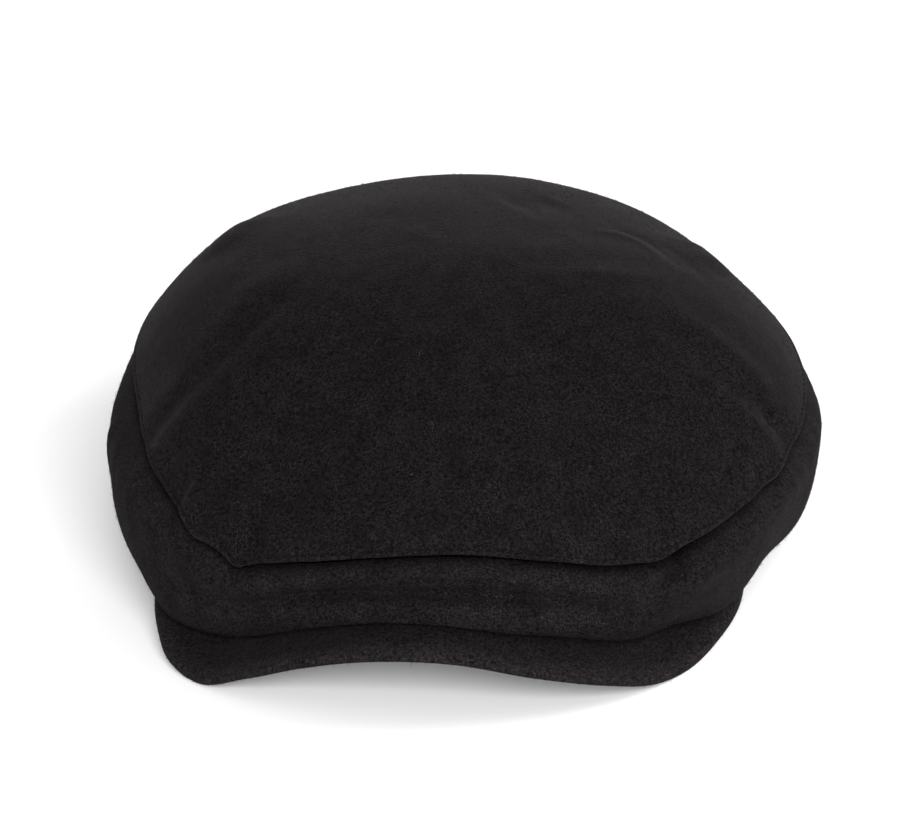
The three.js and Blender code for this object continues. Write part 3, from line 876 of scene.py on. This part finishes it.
# %% Weave the yarns
place = node(felt, "ShaderNodeTexCoord")
flat_cloth = node(felt, "ShaderNodeUVMap", uv_map="cloth")
counted = node(felt, "ShaderNodeVectorMath", operation="SCALE")
link(flat_cloth.outputs["UV"], counted.inputs[0])
link(into.outputs["Yarns Per Metre"], counted.inputs["Scale"])
yarns = []
for stretch in ((1, 0.4, 0), (0.4, 1, 0)):
    drawn = node(felt, "ShaderNodeVectorMath", {1: stretch}, operation="MULTIPLY")
    yarn = node(felt, "ShaderNodeTexNoise", {"Scale": 1.0, "Detail": 1.0, "Distortion": 0.3},
                noise_dimensions="2D")
    link(counted.outputs["Vector"], drawn.inputs[0])
    link(drawn.outputs["Vector"], yarn.inputs["Vector"])
    yarns.append(yarn)
over = node(felt, "ShaderNodeMath", operation="MAXIMUM")
weave = node(felt, "ShaderNodeMapRange", {"From Min": 0.42, "From Max": 0.76, "To Min": 0.3,
                                          "To Max": 0.8})
link(yarns[0].outputs["Fac"], over.inputs[0])
link(yarns[1].outputs["Fac"], over.inputs[1])
link(over.outputs["Value"], weave.inputs["Value"])
print("weave laid")

# %% Felt the nap over the weave
nap_noise = node(felt, "ShaderNodeTexNoise", {"Detail": 4.0, "Roughness": 0.85})
bare = node(felt, "ShaderNodeTexNoise", {"Scale": 95.0, "Detail": 3.0})
bareness = node(felt, "ShaderNodeMapRange", {"From Min": 0.38, "From Max": 0.6})
shown = node(felt, "ShaderNodeMath", operation="MULTIPLY")
height = node(felt, "ShaderNodeMix", data_type="FLOAT")
spread = node(felt, "ShaderNodeMapRange", {"From Min": 0.42, "From Max": 0.70})
mixed = node(felt, "ShaderNodeMix", data_type="RGBA", blend_type="MIX")
link(place.outputs["Object"], nap_noise.inputs["Vector"])
link(into.outputs["Nap Scale"], nap_noise.inputs["Scale"])
link(place.outputs["Object"], bare.inputs["Vector"])
link(bare.outputs["Fac"], bareness.inputs["Value"])
link(bareness.outputs["Result"], shown.inputs[0])
link(into.outputs["Weave"], shown.inputs[1])
link(shown.outputs["Value"], height.inputs["Factor"])
link(nap_noise.outputs["Fac"], height.inputs["A"])
link(weave.outputs["Result"], height.inputs["B"])
link(height.outputs["Result"], spread.inputs["Value"])
link(spread.outputs["Result"], mixed.inputs["Factor"])
link(into.outputs["Cloth Colour"], mixed.inputs["A"])
link(into.outputs["Fibre Colour"], mixed.inputs["B"])
print("nap laid")

# %% Add the flecks, the mottle, the rub and the outputs
speck = node(felt, "ShaderNodeTexNoise", {"Scale": 3000.0, "Detail": 1.0})
bright = node(felt, "ShaderNodeMapRange", {"From Min": 0.66, "From Max": 0.74})
fleck = node(felt, "ShaderNodeMath", operation="MULTIPLY")
pale = node(felt, "ShaderNodeVectorMath", {"Scale": 3.0}, operation="SCALE")
flecked = node(felt, "ShaderNodeMix", data_type="RGBA", blend_type="MIX")
mottle = node(felt, "ShaderNodeTexNoise", {"Scale": 130.0, "Detail": 3.0})
darker = node(felt, "ShaderNodeMapRange", {"From Min": 0.3, "From Max": 0.62})
shaded = node(felt, "ShaderNodeMix", data_type="RGBA", blend_type="MULTIPLY")
rough = node(felt, "ShaderNodeMapRange", {"To Min": 0.85, "To Max": 1.0})
# the mesh's number paints a highlight into the colour where it is above 0 and shade where it is
# below 0
painted_light_attribute = node(felt, "ShaderNodeAttribute", attribute_name="painted_light")
painted_light_gain = node(felt, "ShaderNodeMath", {2: 1.0}, operation="MULTIPLY_ADD")
with_painted_light = node(felt, "ShaderNodeVectorMath", operation="SCALE")
link(place.outputs["Object"], speck.inputs["Vector"])
link(speck.outputs["Fac"], bright.inputs["Value"])
link(bright.outputs["Result"], fleck.inputs[0])
link(into.outputs["Flecks"], fleck.inputs[1])
link(into.outputs["Fibre Colour"], pale.inputs[0])
link(fleck.outputs["Value"], flecked.inputs["Factor"])
link(mixed.outputs["Result"], flecked.inputs["A"])
link(pale.outputs["Vector"], flecked.inputs["B"])
link(place.outputs["Object"], mottle.inputs["Vector"])
link(mottle.outputs["Fac"], darker.inputs["Value"])
link(into.outputs["Mottle"], shaded.inputs["Factor"])
link(flecked.outputs["Result"], shaded.inputs["A"])
link(darker.outputs["Result"], shaded.inputs["B"])
link(painted_light_attribute.outputs["Fac"], painted_light_gain.inputs[0])
link(into.outputs["Painted Light"], painted_light_gain.inputs[1])
link(shaded.outputs["Result"], with_painted_light.inputs[0])
link(painted_light_gain.outputs["Value"], with_painted_light.inputs["Scale"])
link(with_painted_light.outputs["Vector"], out.inputs["Color"])
link(nap_noise.outputs["Fac"], rough.inputs["Value"])
link(rough.outputs["Result"], out.inputs["Roughness"])
link(height.outputs["Result"], out.inputs["Height"])
print("felt group with", len(felt.nodes), "nodes")


# %% Make one felt for each piece
WOOL_SPECULAR, SHEEN_ROUGHNESS, SHEEN_TINT = 0.03, 0.22, (1.0, 0.93, 0.96, 1)


# the last argument sets how strongly the mesh's number paints highlight and shade
def felt_material(name, cloth, fibre, yarns=2300, weave=0.5, nap_scale=900, flecks=0.7,
                  mottle=0.3, bump_mm=0.45, sheen=0.028, painted_light=0.3):
    material = bpy.data.materials.new(name)
    material.use_nodes = True
    tree = material.node_tree
    shader = tree.nodes["Principled BSDF"]
    group = node(tree, "ShaderNodeGroup", node_tree=felt)
    for label, value in (("Cloth Colour", (*cloth, 1)), ("Fibre Colour", (*fibre, 1)),
                         ("Yarns Per Metre", yarns), ("Weave", weave),
                         ("Nap Scale", nap_scale), ("Flecks", flecks), ("Mottle", mottle),
                         ("Painted Light", painted_light)):
        group.inputs[label].default_value = value
    bump = node(tree, "ShaderNodeBump", {"Strength": 1.0, "Distance": bump_mm / 1000})
    tree.links.new(group.outputs["Color"], shader.inputs["Base Color"])
    tree.links.new(group.outputs["Roughness"], shader.inputs["Roughness"])
    tree.links.new(group.outputs["Height"], bump.inputs["Height"])
    tree.links.new(bump.outputs["Normal"], shader.inputs["Normal"])
    for label, value in (("Specular IOR Level", WOOL_SPECULAR), ("Sheen Weight", sheen),
                         ("Sheen Roughness", SHEEN_ROUGHNESS), ("Sheen Tint", SHEEN_TINT)):
        shader.inputs[label].default_value = value
    return material


DARK, PALE = np.array([0.0018, 0.0015, 0.0016]), np.array([0.0150, 0.0127, 0.0134])
# the side panel and the peak are the same cloth as the top, made paler to paint in the light that
# falls on them
SIDE_PAINTED_LIGHTER, PEAK_PAINTED_LIGHTER = 1.42, 1.1
top_felt = felt_material("top_felt", DARK, PALE, sheen=0.031)
side_felt = felt_material("side_felt", DARK * SIDE_PAINTED_LIGHTER, PALE * SIDE_PAINTED_LIGHTER,
                          mottle=0.35, bump_mm=0.65, sheen=0.006)
peak_felt = felt_material("peak_felt", DARK * PEAK_PAINTED_LIGHTER, PALE * PEAK_PAINTED_LIGHTER,
                          weave=0.35, mottle=0.2, bump_mm=0.4, painted_light=0.7)
inside_felt = felt_material("inside_felt", DARK, PALE, weave=0.7, flecks=0.3, sheen=0.015)
thread = felt_material("sewing_thread", (0.002, 0.0018, 0.0019), (0.007, 0.0062, 0.0065),
                       weave=0.0, nap_scale=2600, flecks=0.0, bump_mm=0.05, sheen=0.01)
fibre_wool = felt_material("loose_fibres", (0.005, 0.0043, 0.0045), (0.028, 0.0245, 0.026),
                           weave=0.0, nap_scale=420, flecks=0.3, mottle=0.0, bump_mm=0.02)
lint_wool = felt_material("pale_lint", (0.02, 0.018, 0.0185), (0.085, 0.077, 0.079),
                          weave=0.0, nap_scale=260, flecks=0.0, mottle=0.0, bump_mm=0.02)
print([m.name for m in bpy.data.materials if m.name.endswith(("felt", "fibres", "lint"))])

# %% Tie each piece to the part
PIECES = (
    (top_panel, top_felt, "top_cloth"), (side_panel, side_felt, "side_cloth"),
    (peak, peak_felt, "peak_cloth"), (allowance, inside_felt, "side_cloth"),
    (edge_stitches, thread, "top_cloth"), (hem_stitches, thread, "side_cloth"),
    (top_nap, fibre_wool, "top_cloth"), (side_nap, fibre_wool, "side_cloth"),
    (peak_nap, fibre_wool, "peak_cloth"), (lint, lint_wool, "top_cloth"),
    (side_lint, lint_wool, "side_cloth"),
)
for piece, material, slot in PIECES:
    piece.data.materials.append(material)
    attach(piece, "root")
for piece, solid in ((top_panel, "top_panel"), (side_panel, "side_panel"), (peak, "peak")):
    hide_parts(solid)

# %% [markdown]
# The cap stands on a plain pale table under wide soft lamps, as in a studio. The camera is
# in front of it and a little above, with a long lens.

# %% Add the table
TABLE_SIZE, TABLE_PALE = 8, (0.85, 0.85, 0.85, 1)
bpy.ops.mesh.primitive_plane_add(size=TABLE_SIZE, location=(0, 0, 0))
table = bpy.context.object
table.name = "table"
painted = bpy.data.materials.new("pale_table")
painted.use_nodes = True
paint = painted.node_tree.nodes["Principled BSDF"]
paint.inputs["Base Color"].default_value = TABLE_PALE
paint.inputs["Roughness"].default_value = 0.9
table.data.materials.append(painted)
print("table, m across", TABLE_SIZE)


# %% Hang the lamps
LAMPS_AIM = Vector((0, 0, 0.05))
LAMPS = (
    # name, place and size in metres, and watts
    ("back_lamp", (0, 1.7, 0.5), (1.8, 0.6), 12),
    ("front_lamp", (0.2, -1.8, 1.1), (1.4, 1.0), 60),
    ("right_lamp", (1.5, 0.2, 0.9), (0.9, 1.0), 24),
    ("left_lamp", (-1.5, 0.2, 0.4), (0.9, 0.6), 2),
)


def hang_lamp(name, place, size, watts):
    light = bpy.data.lights.new(name, "AREA")
    light.shape = "RECTANGLE"
    light.size, light.size_y = size
    light.energy = watts
    made = bpy.data.objects.new(name, light)
    made.location = place
    made.rotation_euler = (LAMPS_AIM - Vector(place)).to_track_quat("-Z", "Y").to_euler()
    bpy.context.scene.collection.objects.link(made)


for lamp in LAMPS:
    hang_lamp(*lamp)
print(len(LAMPS), "lamps,", sum(watts for *_, watts in LAMPS), "W in all")

# %% Fill the room with even pale light
ROOM_LIGHT = 0.6
room = bpy.data.worlds.new("pale_room")
bpy.context.scene.world = room
room.use_nodes = True
sky = room.node_tree.nodes["Background"]
sky.inputs["Color"].default_value = (1, 1, 1, 1)
sky.inputs["Strength"].default_value = ROOM_LIGHT
bpy.context.scene.view_settings.view_transform = "Standard"
print("room light", ROOM_LIGHT)

# %% Set up the camera
FOCAL_PIXELS, IMAGE_WIDTH, IMAGE_HEIGHT, SENSOR_MM = 3676.5, 900, 840, 36
AIM, AIM_ACROSS, AIM_DOWN = Vector((-0.0007, -0.0006, 0.046)), 463, 405
CAMERA_AWAY, CAMERA_UP = 1.25, 26
view_angle = math.radians(CAMERA_UP)
lens = bpy.data.cameras.new("camera")
lens.sensor_width = SENSOR_MM
lens.lens = FOCAL_PIXELS / IMAGE_WIDTH * SENSOR_MM
lens.shift_x = -(AIM_ACROSS - IMAGE_WIDTH / 2) / IMAGE_WIDTH
lens.shift_y = (AIM_DOWN - IMAGE_HEIGHT / 2) / IMAGE_WIDTH
camera = bpy.data.objects.new("camera", lens)
camera.location = AIM + CAMERA_AWAY * Vector((0, -math.cos(view_angle), math.sin(view_angle)))
camera.rotation_euler = (AIM - camera.location).to_track_quat("-Z", "Y").to_euler()
bpy.context.scene.collection.objects.link(camera)
bpy.context.scene.camera = camera
print("lens mm", round(lens.lens, 1))
